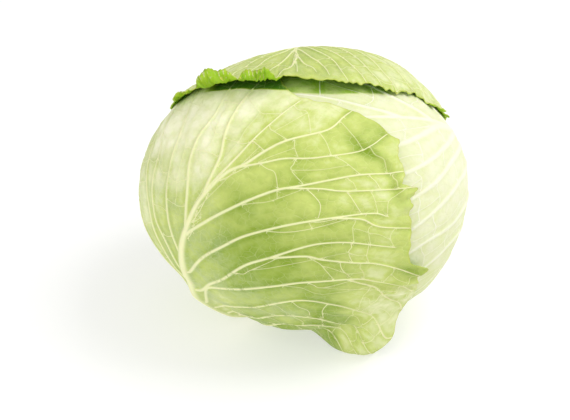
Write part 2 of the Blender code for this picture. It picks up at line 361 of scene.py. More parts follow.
def leaf_material(
    name, pale, mid, deep, bloom_colour, rib_colour, inside_light, inside_deep, inside_rib, net=0.25
):
    """Leaf tissue. Each piece gives it these vectors at its points.

    rib:    distance from the nearest rib in half widths, signed beside a thin one, degrees
            outside its soft edge, and how plainly it shows
    blade:  place on the flattened leaf in millimetres, and millimetres from the margin
    tissue: 1 on the inner face, how green it is (0 to 1, and more where deep shade is painted),
            and how much bloom it has
    """
    material = bpy.data.materials.new(name)
    material.use_nodes = True
    tree = material.node_tree
    shader = tree.nodes["Principled BSDF"]

    rib = add_node(tree, "ShaderNodeAttribute", dict(attribute_name="rib")).outputs["Vector"]
    blade = add_node(tree, "ShaderNodeAttribute", dict(attribute_name="blade")).outputs["Vector"]
    tissue = add_node(tree, "ShaderNodeAttribute", dict(attribute_name="tissue")).outputs["Vector"]
    signed, beside, strength = add_node(tree, "ShaderNodeSeparateXYZ", Vector=rib).outputs
    across, along, margin = add_node(tree, "ShaderNodeSeparateXYZ", Vector=blade).outputs
    inside, green, waxy = add_node(tree, "ShaderNodeSeparateXYZ", Vector=tissue).outputs
    flat = add_node(tree, "ShaderNodeCombineXYZ", X=across, Y=along, Z=0.0).outputs[0]

    # Ribs: a line where the distance passes zero close to a rib, faint where deep shade is painted.
    line = ramp_between(tree, calculate(tree, "ABSOLUTE", signed), SOFT_EDGE, SOFT_EDGE - 1.0)
    near = ramp_between(tree, beside, 0.75, 0.45)
    rib_line = calculate(tree, "MULTIPLY", calculate(tree, "MULTIPLY", line, near), strength)
    shaded = ramp_between(tree, green, 1.10, 1.70)
    faded = calculate(tree, "MULTIPLY_ADD", shaded, -0.8, 1.0)
    rib_line = calculate(tree, "MULTIPLY", rib_line, faded)
    # Painted shade: the tissue is darker green beside each rib, like the shadow side of a raised rib.
    rib_side_shade = calculate(tree, "MULTIPLY", ramp_between(tree, beside, 2.4, 0.3), strength)

    net_node = add_node(tree, "ShaderNodeGroup", dict(node_tree=net_group), Place=flat, Cell_Size=NET_CELL)
    bloom = add_node(tree, "ShaderNodeGroup", dict(node_tree=bloom_group), Place=flat, Amount=waxy)

    # How green: cloudy patches, the tint of each cell, and painted shade along both sides of each rib.
    mottle = add_node(
        tree, "ShaderNodeTexNoise", Vector=flat, Scale=0.06, Detail=6.0, Roughness=0.6
    ).outputs["Fac"]
    greener = calculate(tree, "MULTIPLY_ADD", ramp_between(tree, mottle, 0.32, 0.68), 0.22, -0.11)
    greener = calculate(tree, "ADD", greener, green)
    greener = calculate(tree, "MULTIPLY_ADD", net_node.outputs["Tint"], 0.07, greener)
    greener = calculate(tree, "MULTIPLY_ADD", rib_side_shade, 0.14, greener)
    low_half = calculate(tree, "MULTIPLY", greener, 2.0)
    high_half = calculate(tree, "MULTIPLY_ADD", greener, 2.0, -1.0)
    low_half.node.use_clamp = high_half.node.use_clamp = True

    # Colour: the tissue with its painted shade, then the bloom, the vein net, the ribs, and a
    # yellow line at the margin.
    outer = mix_colour(tree, low_half, pale, mid)
    outer = mix_colour(tree, high_half, outer, deep)
    # Painted shade: where the green goes past 1, the tissue turns the dark green of deep shade.
    outer = mix_colour(tree, shaded, outer, SHADE_GREEN)
    outer = mix_colour(tree, bloom.outputs["Mask"], outer, bloom_colour)
    inner = mix_colour(tree, low_half, inside_light, inside_deep)
    blade_colour = mix_colour(tree, inside, outer, inner)
    patches = ramp_between(tree, mottle, 0.40, 0.62)
    lines = calculate(tree, "MULTIPLY", net_node.outputs["Lines"], calculate(tree, "MULTIPLY", patches, net))
    blade_colour = mix_colour(tree, lines, blade_colour, rib_colour)
    rib_tint = mix_colour(tree, inside, rib_colour, inside_rib)
    blade_colour = mix_colour(tree, rib_line, blade_colour, rib_tint)
    edge = calculate(tree, "MULTIPLY", ramp_between(tree, margin, 1.8, 0.1), 0.4)
    blade_colour = mix_colour(tree, edge, blade_colour, MARGIN_YELLOW)
    tree.links.new(blade_colour, shader.inputs["Base Color"])

    rough = calculate(tree, "MULTIPLY_ADD", bloom.outputs["Mask"], 0.16, LEAF_ROUGHNESS)
    rough = calculate(tree, "MULTIPLY_ADD", bloom.outputs["Grain"], 0.10, rough)
    rough = calculate(tree, "MULTIPLY_ADD", rib_line, -0.05, rough)
    tree.links.new(rough, shader.inputs["Roughness"])

    height = calculate(tree, "MULTIPLY", net_node.outputs["Lines"], 0.05)
    for relief, share in (
        (net_node.outputs["Puff"], 0.14),
        (net_node.outputs["Fine Lines"], 0.02),
        (rib_line, 0.22),
        (bloom.outputs["Grain"], 0.26),
    ):
        height = calculate(tree, "MULTIPLY_ADD", relief, share, height)
    bump = add_node(tree, "ShaderNodeBump", Strength=0.8, Distance=BUMP_DEPTH, Height=height)
    tree.links.new(bump.outputs["Normal"], shader.inputs["Normal"])

    shader.inputs["Specular IOR Level"].default_value = 0.32
    shader.inputs["Subsurface Weight"].default_value = 0.12
    shader.inputs["Subsurface Radius"].default_value = (0.6, 1.0, 0.25)
    shader.inputs["Subsurface Scale"].default_value = 0.003
    return material


HEART_RINGS = 90
HEART_SIDES = 180
FOLDS_ROUND = 5  # leaf edges that show round the ball
FOLD_STEP = 0.0009  # how deep one leaf edge lies under the next
HEART_MM_PER_DEGREE = 1.9
FAR_INSIDE = 40.0  # millimetres from any margin
NO_RIB = (9.0, 9.0, 0.0)  # the rib vector where there is none near
HEART_TISSUE = (0.0, 0.20, 0.2)


def build_inner_head():
    down = np.linspace(0.0, 180.0, HEART_RINGS + 1)[1:-1]
    turn = np.arange(HEART_SIDES) * 360.0 / HEART_SIDES
    down, turn = np.meshgrid(down, turn, indexing="ij")
    directions = direction_of(down, turn)
    fold = ((turn + 0.8 * down) * FOLDS_ROUND / 360.0) % 1.0
    open_fold = smooth_step(down / 30.0) * smooth_step((180.0 - down) / 20.0)
    lift = INNER_HEAD_LEVEL * LEAF_PITCH - FOLD_STEP * open_fold * smooth_step(fold * 8.0)
    points, _ = head_surface(directions, lift)
    poles, _ = head_surface(direction_of(np.array([0.0, 180.0]), np.zeros(2)), lift.mean())
    index = np.arange(down.size).reshape(down.shape)
    beside = np.roll(index, -1, axis=1)
    quads = np.stack([index[:-1], index[1:], beside[1:], beside[:-1]], -1)
    crown, stem = index.size, index.size + 1
    caps = [(crown, a, b) for a, b in zip(index[0], beside[0])]
    caps += [(stem, b, a) for a, b in zip(index[-1], beside[-1])]
    piece = mesh_piece("inner_head_folds", np.concatenate([points.reshape(-1, 3), poles]), quads, caps)
    away = HEART_MM_PER_DEGREE * np.append(down.ravel(), [0.0, 180.0])
    turn = np.radians(np.append(turn.ravel(), [0.0, 0.0]))
    flat = np.stack([np.sin(turn) * away, np.cos(turn) * away, 0.0 * away + FAR_INSIDE], -1)
    add_vectors(piece, "blade", flat)
    add_vectors(piece, "rib", np.tile(NO_RIB, (len(away), 1)))
    add_vectors(piece, "tissue", np.tile(HEART_TISSUE, (len(away), 1)))
    return piece


inner_head = build_inner_head()
inner_head.data.materials.append(leaf_material(
    "heart_leaf",
    pale=colour_of(238, 238, 196),
    mid=colour_of(222, 228, 160),
    deep=colour_of(190, 206, 110),
    bloom_colour=colour_of(225, 230, 190),
    rib_colour=colour_of(244, 243, 214),
    inside_light=colour_of(238, 238, 196),
    inside_deep=colour_of(205, 218, 140),
    inside_rib=colour_of(240, 240, 204),
))
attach(inner_head, "root")
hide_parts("inner_head")


# Cut stem -------------------------------------------------------------------------------------
# The stub that the knife left: a tough cream cylinder with a ring of woody strands round a
# softer pith. The head stands on its cut face.
STEM_RADIUS = 0.0155
STEM_TOP = 0.0139
STEM_BEVEL = 0.0012
STEM_SIDES = 96
STEM_RINGS = 12  # rings on the cut face, from the pith outwards


def build_cut_stem():
    cut = [(share * (STEM_RADIUS - STEM_BEVEL), 0.0) for share in np.linspace(0.0, 1.0, STEM_RINGS)[1:]]
    side = [(STEM_RADIUS - STEM_BEVEL / 3, STEM_BEVEL / 3), (STEM_RADIUS, STEM_BEVEL)]
    side += [(STEM_RADIUS, height) for height in np.linspace(0.0020, STEM_TOP - STEM_BEVEL, 8)]
    side += [(STEM_RADIUS - STEM_BEVEL, STEM_TOP)]
    profile = np.array(cut + side)
    turn = np.arange(STEM_SIDES) * math.tau / STEM_SIDES
    radius, turned = np.meshgrid(profile[:, 0], turn, indexing="ij")
    height = np.repeat(profile[:, 1], STEM_SIDES).reshape(radius.shape)
    edge = (radius / STEM_RADIUS) ** 6
    radius = radius - 0.0003 * edge * (1.0 + np.sin(turned * 7.0 + 0.6) * np.sin(turned * 3.0))
    points = np.stack([radius * np.cos(turned), radius * np.sin(turned), height], -1).reshape(-1, 3)
    index = np.arange(radius.size).reshape(radius.shape)
    beside = np.roll(index, -1, axis=1)
    quads = np.stack([index[:-1], beside[:-1], beside[1:], index[1:]], -1)[..., ::-1]
    pith, top = len(points), len(points) + 1
    caps = [(pith, a, b) for a, b in zip(index[0], beside[0])]
    caps += [(top, b, a) for a, b in zip(index[-1], beside[-1])]
    points = np.concatenate([points, [(0.0, 0.0, 0.0), (0.0, 0.0, STEM_TOP)]])
    return mesh_piece("cut_stem_stub", points, quads, caps)


def stem_material():
    """Cream pith, a darker ring of strands with fine rays, and a pale fibrous skin."""
    material = bpy.data.materials.new("cut_stem_fibre")
    material.use_nodes = True
    tree = material.node_tree
    shader = tree.nodes["Principled BSDF"]
    place = add_node(tree, "ShaderNodeTexCoord").outputs["Object"]
    x, y, z = add_node(tree, "ShaderNodeSeparateXYZ", Vector=place).outputs
    squared = calculate(tree, "MULTIPLY_ADD", y, y, calculate(tree, "MULTIPLY", x, x))
    radius = calculate(tree, "SQRT", squared)
    wobble = add_node(tree, "ShaderNodeTexNoise", Vector=place, Scale=320.0, Detail=3.0).outputs["Fac"]
    ring = calculate(tree, "MULTIPLY_ADD", wobble, 0.004, radius)
    ring = calculate(
        tree, "MULTIPLY", ramp_between(tree, ring, 0.0115, 0.0130), ramp_between(tree, ring, 0.0165, 0.0148)
    )
    strands = add_node(tree, "ShaderNodeTexVoronoi", Vector=place, Scale=900.0).outputs["Distance"]
    dots = calculate(tree, "MULTIPLY", ramp_between(tree, strands, 0.5, 0.1), ring)
    colour = mix_colour(tree, ring, colour_of(238, 232, 196), colour_of(214, 205, 150))
    colour = mix_colour(tree, dots, colour, colour_of(176, 160, 104))
    skin = ramp_between(tree, z, 0.0008, 0.0030)
    colour = mix_colour(tree, skin, colour, colour_of(222, 226, 176))
    tree.links.new(colour, shader.inputs["Base Color"])
    rough = calculate(tree, "MULTIPLY_ADD", wobble, 0.2, 0.5)
    tree.links.new(rough, shader.inputs["Roughness"])
    bump = add_node(tree, "ShaderNodeBump", Strength=0.6, Distance=0.0006, Height=strands)
    tree.links.new(bump.outputs["Normal"], shader.inputs["Normal"])
    shader.inputs["Specular IOR Level"].default_value = 0.3
    return material


cut_stem = build_cut_stem()
cut_stem.data.materials.append(stem_material())
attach(cut_stem, "root")
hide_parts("cut_stem")


# Front right leaf -------------------------------------------------------------------------------
# The innermost of the loose wrapper leaves, almost white because it never saw the sun. Like
# every leaf here it is a thin blade on a thick midrib, wrapped round the head from the stem.
STEM_CLEARANCE = 0.0008
NECK_WIDTH = 24.0
BLADE_THICKNESS = 0.0011
MARGIN_THICKNESS = 0.0005
GOLDEN_ANGLE = 137.5
FIRST_LEAF_AZIMUTH = 180.0
MM_PER_DEGREE = 1.85  # of blade, on the head
TABLE_GAP = 0.0006  # under whatever lies on the table
LEAF_SHARE = 0.55  # of the pitch that the leaf itself takes up
MAIN_RIB = 0.40  # degrees of half width from which a rib is one of the main ones
THICK_RIB = 0.42  # degrees of half width from which a rib needs no sign to look smooth
MIDRIB_TAPER = 2.3  # how quickly the midrib thins: 1 would be evenly
RIB_END = 0.985  # how far towards the margin a side rib reaches
THIN_EDGE = 10.0  # millimetres over which the blade thins towards the margin
CALM_EDGE = 12.0  # millimetres over which its sway dies out towards the margin
QUILT_REACH = 3.2  # degrees from a rib to where the tissue is puffed up
# The unwrapped layer: how many degrees of leaf are as wide as the outer face's square, how small
# the inner face is beside it, how far to the right that lies, and the width that both share.
UNWRAP_DEGREES = 230.0
UNWRAP_INNER = 0.4
UNWRAP_BESIDE = 0.75
UNWRAP_WIDTH = 0.65


def angle_between(angle, other):
    """Degrees from the other angle to this one, from -180 to 180."""
    return (angle - other + 180.0) % 360.0 - 180.0


def bell(angle, middle, width):
    """1 at the middle angle, and less and less away from it."""
    return np.exp(-((angle_between(angle, middle) / width) ** 2))


def heading(angle):
    """Unit step on the blade, at degrees to the right of straight up."""
    return np.array([math.sin(math.radians(angle)), math.cos(math.radians(angle))])


def round_outline(angle, level, middle, span, lobes=()):
    """Degrees from a leaf's middle to its margin, at each angle round it."""
    inner_lift = (level - LEAF_SHARE) * LEAF_PITCH
    base_radius = HEAD_RADIUS + inner_lift * HEAD_HALF_HEIGHT / HEAD_RADIUS
    stem_edge = math.degrees(math.asin((STEM_RADIUS + STEM_CLEARANCE) / base_radius))
    reach = span + 0.0 * angle
    for direction, width, extra in lobes:
        reach = reach + extra * bell(angle, direction, width)
    return reach + (180.0 - middle - stem_edge - reach) * bell(angle, -90.0, NECK_WIDTH)


def ragged(angle, seed, sizes):
    """Uneven bites and teeth along a margin: (waves round the leaf, degrees high) for each."""
    rng = np.random.default_rng(seed)
    total = 0.0 * angle
    for count, height in sizes:
        for _ in range(5):
            turns = max(1, round(count * rng.uniform(0.7, 1.4)))
            total += 0.45 * height * np.sin(np.radians(angle) * turns + rng.uniform(0.0, math.tau))
    return total


def smooth_route(places, steps):
    """A smooth curve through a few places."""
    places = np.asarray(places, float)
    padded = np.concatenate([[2 * places[0] - places[1]], places, [2 * places[-1] - places[-2]]])
    route = []
    for before, start, finish, after in zip(padded, padded[1:], padded[2:], padded[3:]):
        for share in np.arange(steps) / steps:
            route.append(0.5 * (
                2 * start
                + (finish - before) * share
                + (2 * before - 5 * start + 4 * finish - after) * share**2
                + (3 * start - before - 3 * finish + after) * share**3
            ))
    return np.array(route + [places[-1]])


def tapered_rib(line, half_widths, heights, strength, power=0.8):
    """A rib along points on the blade, with its half width and height at its two ends."""
    line = np.asarray(line, float)
    left = np.linspace(1.0, 0.0, len(line)) ** power
    return dict(
        line=line,
        half=half_widths[1] + (half_widths[0] - half_widths[1]) * left,
        height=heights[1] + (heights[0] - heights[1]) * left,
        strength=strength,
    )


def trunk_rib(places, thick, thin=0.35, strength=1.0):
    """The midrib, very thick at the stem and thin at the tip. Sizes are in degrees and mm."""
    line = smooth_route(places, 8)
    left = np.linspace(1.0, 0.0, len(line)) ** MIDRIB_TAPER
    return dict(line=line, half=thin + thick * left, height=0.35 + 0.85 * thick * left, strength=strength)


def branch(parent, places, half=0.85, height=1.15, thin=0.30, run=5.0, strength=0.92):
    """A rib that peels off its parent a little below the first place, and goes through the rest."""
    places = np.asarray(places, float)
    gaps = np.hypot(*(parent["line"] - places[0]).T)
    steps = np.hypot(*np.diff(parent["line"], axis=0).T)
    along = np.concatenate([[0.0], np.cumsum(steps)])
    back = np.abs(along - (along[gaps.argmin()] - run)).argmin()
    start = parent["line"][back]
    if gaps.min() < 1.5:
        places = places[1:]
    line = smooth_route(np.concatenate([[start], places]), 7)
    return tapered_rib(line, (half, thin), (height, 0.28), strength)


def side_rib(parent, outline, start, leave, finish_angle, arrive, **sizes):
    """A side rib that leaves its parent in one direction and reaches the margin in another.

    start is where it leaves the parent, finish_angle the angle round the leaf where it ends.
    """
    start = np.array(start, float)
    reach = RIB_END * float(outline(np.array(float(finish_angle))))
    turned = math.radians(finish_angle)
    finish = reach * np.array([math.cos(turned), math.sin(turned)])
    pull = 0.36 * np.linalg.norm(finish - start)
    handles = np.array([start, start + pull * heading(leave), finish - pull * heading(arrive), finish])
    share = np.linspace(0.0, 1.0, 6)[:, None]
    line = (
        handles[0] * (1 - share) ** 3
        + 3 * handles[1] * share * (1 - share) ** 2
        + 3 * handles[2] * share**2 * (1 - share)
        + handles[3] * share**3
    )
    return branch(parent, line, **sizes)


def cross_veins(ribs, seed, spacing=11.0, half=0.21):
    """Thin veins that tie each rib to the next one round, with a kink where a spur leaves."""
    rng = np.random.default_rng(seed)
    veins = []
    for first, second in zip(ribs, ribs[1:]):
        steps = np.hypot(*np.diff(first["line"], axis=0).T)
        length = np.concatenate([[0.0], np.cumsum(steps)])
        kinks = []
        place = rng.uniform(0.7, 1.3) * spacing
        while place < length[-1] - 1.0:
            at = np.array([np.interp(place, length, first["line"][:, axis]) for axis in (0, 1)])
            gaps = np.hypot(*(second["line"] - at).T)
            nearest = gaps.argmin()
            gap = gaps[nearest]
            ahead = nearest + int(round(rng.uniform(0.15, 0.6) * gap / 2.0))
            over = second["line"][min(ahead, len(second["line"]) - 1)]
            if 6.0 < gap < 26.0 and nearest < len(second["line"]) - 1:
                way = over - at
                square = np.array([-way[1], way[0]]) / max(np.hypot(*way), 1e-6)
                kink = at + way * rng.uniform(0.35, 0.65) + square * rng.uniform(-0.22, 0.22) * gap
                soft = at + 0.5 * (kink - at) + square * rng.uniform(-0.08, 0.08) * gap
                line = smooth_route([at, soft, kink, over], 5)
                veins.append(tapered_rib(line, (half, 0.8 * half), (0.20, 0.16), rng.uniform(0.45, 0.85)))
                kinks.append((kink, gap))
            place += rng.uniform(0.65, 1.4) * spacing
        for (low, gap), (high, _) in zip(kinks, kinks[1:]):
            if gap > 9.0 and rng.uniform() < 0.75:
                middle = 0.5 * (low + high) + rng.uniform(-0.12, 0.12, 2) * gap
                line = smooth_route([low, middle, high], 6)
                veins.append(tapered_rib(line, (0.9 * half, 0.7 * half), (0.16, 0.10), 0.55))
    return veins


def measure_ribs(across, along, ribs):
    """How each place on the blade lies to the ribs.

    Returns the distance from the nearest rib in half widths, signed beside a thin one, the
    degrees outside its soft edge, its strength, the height of the ribs there in mm, and the
    degrees from the nearest main rib.
    """
    count = across.size
    signed, beside, strength = (np.full(count, value) for value in NO_RIB)
    raised, clear = np.zeros(count), np.full(count, 30.0)
    for rib in ribs:
        line, half, height = rib["line"], rib["half"], rib["height"]
        # Only the places near the rib are measured.
        margin = 3.0 * half.max() + 3.0
        low, high = line.min(axis=0) - margin, line.max(axis=0) + margin
        inside = (across > low[0]) & (across < high[0]) & (along > low[1]) & (along < high[1])
        near = np.flatnonzero(inside)
        if not near.size:
            continue
        start, step = line[:-1], np.diff(line, axis=0)
        away = np.stack([across[near], along[near]], -1)[:, None] - start
        share = np.clip((away * step).sum(-1) / np.maximum((step**2).sum(-1), 1e-9), 0.0, 1.0)
        gap = away - share[..., None] * step
        distance = np.hypot(gap[..., 0], gap[..., 1])
        width = half[:-1] + share * np.diff(half)
        best = np.argmin(distance - width, axis=1)
        row = np.arange(near.size)
        distance, width = distance[row, best], width[row, best]
        cross = step[best, 0] * away[row, best, 1] - step[best, 1] * away[row, best, 0]
        rise = (height[:-1] + share * np.diff(height))[row, best]
        rise = rise * np.exp(-0.9 * (distance / np.maximum(width, 0.45)) ** 2)
        outside = distance - SOFT_EDGE * width
        closer = outside < beside[near]
        chosen = near[closer]
        beside[chosen] = outside[closer]
        side = np.where(width > THICK_RIB, 1.0, np.sign(cross))
        signed[chosen] = (distance / width * side)[closer]
        strength[chosen] = rib["strength"]
        raised[near] = np.maximum(raised[near], rise)
        if half[0] > MAIN_RIB:
            clear[near] = np.minimum(clear[near], distance)
    return signed, beside, strength, raised, clear


def leaf_axes(middle, azimuth):
    """Unit vectors to a leaf's middle, across the leaf and along it towards the crown."""
    centre, along = direction_of(middle, azimuth), direction_of(middle - 90.0, azimuth)
    return centre, np.cross(along, centre), along


def plain_leaf_shape(face):
    """A leaf that lies close to the head all over."""
    return face["points"]


def leaf_face(leaf, cells, inner):
    """One face of a leaf on a grid: its points, and what the material needs to know."""
    angle, share = disc_grid(cells)
    outline = leaf["outline"](angle)
    reach = share * outline
    across, along = reach * np.cos(np.radians(angle)), reach * np.sin(np.radians(angle))
    ribs = leaf["ribs"]
    if inner:  # the wider grid shows only the main ribs, and wider ones
        ribs = [dict(rib, half=2.0 * rib["half"]) for rib in ribs if rib["half"][0] > MAIN_RIB]
    signed, beside, strength, raised, clear = measure_ribs(across.ravel(), along.ravel(), ribs)
    shape = angle.shape
    raised, clear = raised.reshape(shape), clear.reshape(shape)
    margin = (outline - reach) * MM_PER_DEGREE

    centre, sideways, upwards = leaf_axes(leaf["middle"], leaf["azimuth"])
    turned, bent = np.radians(angle)[..., None], np.radians(reach)[..., None]
    outward = np.cos(turned) * sideways + np.sin(turned) * upwards
    directions = np.cos(bent) * centre + np.sin(bent) * outward
    leaving = np.cos(bent) * outward - np.sin(bent) * centre

    # The ribs flatten out where the leaf is pressed against the table.
    pressed = smooth_step((directions[..., 2] + 0.97) / 0.22)
    raised = raised * (0.15 + 0.85 * pressed)
    # The tissue puffs up between the ribs, and the whole blade sways a little.
    fade = smooth_step(margin / CALM_EDGE)
    thick = MARGIN_THICKNESS + (BLADE_THICKNESS - MARGIN_THICKNESS) * smooth_step(margin / THIN_EDGE)
    quilt = leaf["quilt"] * (1.0 - np.exp(-((clear / QUILT_REACH) ** 2)))
    quilt = quilt * (1.0 + 0.35 * waves(directions, leaf["seed"], 0.16))
    sway = 0.5 * leaf["quilt"] * waves(directions, leaf["seed"] + 1, 0.30) * fade
    sway = sway + 0.30 * waves(directions, leaf["seed"] + 2, 0.60) * fade
    depth = thick if inner else 0.0 * thick
    detail = (0.25 * quilt - 0.3 * raised if inner else quilt + raised) * 0.001 + sway * 0.001
    lift = leaf["level"] * LEAF_PITCH + detail - depth + 0.001 * leaf["drape"](across, along)
    points, normals = head_surface(directions, lift)
    leaving = leaving * HEAD_RADII
    leaving = unit(leaving - normals * (leaving * normals).sum(-1, keepdims=True))
    face = dict(
        points=points, normals=normals, leaving=leaving, directions=directions, angle=angle,
        reach=reach, outline=outline, across=across, along=along, margin=margin, depth=depth,
    )
    points = leaf["shape"](face)
    points[..., 2] = smooth_maximum(points[..., 2], TABLE_GAP + depth, 0.0008)
    green, waxy = leaf["tissue"](face)
    return (
        points.reshape(-1, 3),
        np.stack([signed, beside, strength], -1),
        np.stack([across * MM_PER_DEGREE, along * MM_PER_DEGREE, margin], -1).reshape(-1, 3),
        np.stack([np.full(shape, float(inner)), green, waxy], -1).reshape(-1, 3),
        np.stack([across, along], -1).reshape(-1, 2),
    )


def rim_triangles(fine, coarse):
    """Closes the gap between the outer face's edge and the inner face's wider-spaced edge."""
    ratio = len(fine) // len(coarse)
    triangles = []
    for place, corner in enumerate(coarse):
        following = coarse[(place + 1) % len(coarse)]
        run = [fine[(place * ratio + step) % len(fine)] for step in range(ratio + 1)]
        middle = ratio // 2
        triangles += [(run[k], corner, run[k + 1]) for k in range(middle)]
        triangles.append((run[middle], corner, following))
        triangles += [(run[k], following, run[k + 1]) for k in range(middle, ratio)]
    return triangles


def grow_leaf(name, leaf, cells, material):
    """A closed thin leaf: a finely modelled outer face, a coarser inner face and the rim."""
    outer, inner = leaf_face(leaf, cells[0], False), leaf_face(leaf, cells[1], True)
    fine, coarse = (np.arange((count + 1) ** 2).reshape(count + 1, count + 1) for count in cells)
    coarse = coarse + fine.size
    quads = np.concatenate([grid_quads(fine), grid_quads(coarse)[:, ::-1]])
    triangles = rim_triangles(grid_edge(fine), grid_edge(coarse))
    points, rib, blade, tissue, plane = (np.concatenate(pair) for pair in zip(outer, inner))
    piece = mesh_piece(name, points, quads, triangles)
    add_vectors(piece, "rib", rib)
    add_vectors(piece, "blade", blade)
    add_vectors(piece, "tissue", tissue)
    on_inner = np.arange(len(points)) >= fine.size
    unwrapped = plane / UNWRAP_DEGREES * np.where(on_inner, UNWRAP_INNER, 1.0)[:, None] + 0.5
    unwrapped[:, 0] += on_inner * UNWRAP_BESIDE
    unwrapped[:, 0] *= UNWRAP_WIDTH
    place_uv(piece, unwrapped)
    piece.data.materials.append(material)
    return piece


def usual_ribs(outline, seed):
    """A straight midrib with eight side ribs on either hand, as an even leaf has them."""
    trunk = trunk_rib([(0.0, -94.0), (0.0, -48.0), (0.0, -10.0), (0.0, 30.0), (0.0, 72.0)], 4.0)
    right, left = [trunk], [trunk]
    for start, leave, finish, arrive in (
        (44.0, 22.0, 78.0, 14.0), (24.0, 30.0, 63.0, 32.0), (6.0, 36.0, 45.0, 55.0),
        (-10.0, 42.0, 27.0, 78.0), (-25.0, 48.0, 8.0, 98.0), (-38.0, 55.0, -14.0, 118.0),
        (-50.0, 60.0, -36.0, 140.0), (-60.0, 62.0, -58.0, 150.0),
    ):
        right.append(side_rib(trunk, outline, (0.0, start), leave, finish, arrive))
        left.append(side_rib(trunk, outline, (0.0, start + 5.0), -leave, 177.0 - finish, -arrive))
    return right + left[1:] + cross_veins(right, seed) + cross_veins(left, seed + 1)


def no_drape(across, along):
    return 0.0 * across


def even_tissue(face):
    return 0.20 + 0.0 * face["across"], 0.15 + 0.0 * face["across"]


pale_leaf = leaf_material(
    "pale_leaf_blade",
    pale=colour_of(234, 235, 204),
    mid=colour_of(214, 221, 152),
    deep=colour_of(140, 176, 48),
    bloom_colour=colour_of(228, 232, 200),
    rib_colour=colour_of(248, 247, 230),
    inside_light=colour_of(236, 240, 180),
    inside_deep=colour_of(190, 208, 104),
    inside_rib=colour_of(244, 244, 210),
    net=0.10,
)


# A leaf's middle is so many degrees down from the crown, and its span so many from there to the
# margin. It is made with so many cells across its outer and its inner face.
HIDDEN_MIDDLE = 76.0
HIDDEN_SPAN = 76.0
HIDDEN_CELLS = (110, 55)


def hidden_leaf(place, seed):
    """An even leaf, this many places in from the outermost."""
    level = 1 - place

    def outline(angle):
        even = round_outline(angle, level, HIDDEN_MIDDLE, HIDDEN_SPAN)
        return even + ragged(angle, seed, ((9, 0.5), (40, 0.25)))

    return dict(
        level=level, middle=HIDDEN_MIDDLE, azimuth=FIRST_LEAF_AZIMUTH + place * GOLDEN_ANGLE,
        seed=seed, quilt=0.25, outline=outline, ribs=usual_ribs(outline, seed), drape=no_drape,
        shape=plain_leaf_shape, tissue=even_tissue,
    )


front_right_leaf = grow_leaf(
    "front_right_leaf_blade", hidden_leaf(4, seed=41), HIDDEN_CELLS, pale_leaf
)
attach(front_right_leaf, "root")
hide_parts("front_right_leaf")


# Back left leaf ---------------------------------------------------------------------------------
# The next leaf outwards, a golden angle further round the stem, as pale as the one under it.
back_left_leaf = grow_leaf("back_left_leaf_blade", hidden_leaf(3, seed=42), HIDDEN_CELLS, pale_leaf)
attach(back_left_leaf, "root")
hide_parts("back_left_leaf")


# Right leaf -------------------------------------------------------------------------------------
# A cream leaf with broad flat ribs that fan out from a midrib bent towards the crown. The
# leaves over it kept the light off, so it has hardly any green.
RIGHT_MIDDLE = 75.0
RIGHT_SPAN = 80.0
RIGHT_CELLS = (270, 54)
BACK_MIDDLE = 75.0
BACK_SPAN = 68.0
# Lobes of the outline: angle round the leaf, width, and degrees added or taken away.
BACK_LOBES = ((98.0, 46.0, 20.0), (50.0, 22.0, 3.0), (10.0, 16.0, -9.0), (172.0, 14.0, -8.0))
RIGHT_LOBES = ((110.0, 30.0, 14.0),)


def right_outline(angle):
    return round_outline(angle, -1, RIGHT_MIDDLE, RIGHT_SPAN, RIGHT_LOBES) + ragged(angle, 51, ((8, 0.5),))


def right_ribs():
    trunk = trunk_rib(
        [(0, -94), (6, -45), (8, -14), (3, 6), (-7, 19), (-14, 29), (-26, 46), (-36, 62)],
        3.6, 0.8, 0.6,
    )
    left = (
        ((-8, 20), (-14, 24), (-20, 27), (-35, 35), (-52, 47), (-60, 52)),
        ((-3, 11), (-10, 14), (-19, 17), (-35, 22), (-52, 29), (-72, 35)),
        ((2, 2), (-9, 7), (-22, 11), (-39, 13), (-58, 17), (-78, 19)),
        ((6, -10), (-3, -4), (-14, -1), (-25, 2), (-46, 3), (-62, 2), (-80, 1)),
        ((8, -24), (-6, -17), (-20, -13), (-35, -11), (-50, -8), (-64, -10), (-78, -15)),
        ((7, -36), (-10, -27), (-26, -22), (-40, -21), (-54, -25), (-70, -38)),
        ((6, -48), (-10, -40), (-26, -36), (-42, -38), (-60, -52)),
        ((5, -58), (-10, -53), (-26, -53), (-46, -64)),
    )
    right = (
        ((-24, 44), 0, 104, -2), ((-15, 32), 12, 88, 12), ((-4, 17), 22, 70, 32), ((4, 2), 32, 50, 52),
        ((8, -14), 40, 30, 72), ((8, -28), 48, 11, 92), ((7, -40), 55, -9, 115), ((5, -52), 60, -30, 138),
    )
    left = [trunk] + [branch(trunk, places, half=1.9, height=1.2, thin=0.5, strength=0.58) for places in left]
    right = [trunk] + [
        side_rib(trunk, right_outline, *side, half=1.1, height=0.75, strength=0.6) for side in right
    ]
    veins = cross_veins(left, 52, spacing=15.0, half=0.26) + cross_veins(right, 53, spacing=14.0)
    return left + right[1:] + veins


def painted_back_leaf_shade(directions):
    """How far the tissue lies in the painted shade of the back leaf's margin, from 0 to 1."""
    centre, sideways, upwards = leaf_axes(BACK_MIDDLE, FIRST_LEAF_AZIMUTH)
    reach = np.degrees(np.arccos(np.clip(directions @ centre, -1.0, 1.0)))
    angle = np.degrees(np.arctan2(directions @ upwards, directions @ sideways))
    # The painted shade reaches a little beyond the margin, most where the margin stands off the head.
    covered = round_outline(angle, 1, BACK_MIDDLE, BACK_SPAN, BACK_LOBES) - reach
    beyond = 0.5 + 3.4 * bell(angle, 84.0, 22.0)
    ends = smooth_step((angle - 50.0) / 8.0) * smooth_step((128.0 - angle) / 12.0)
    return smooth_step((covered + beyond) / 1.1) * ends


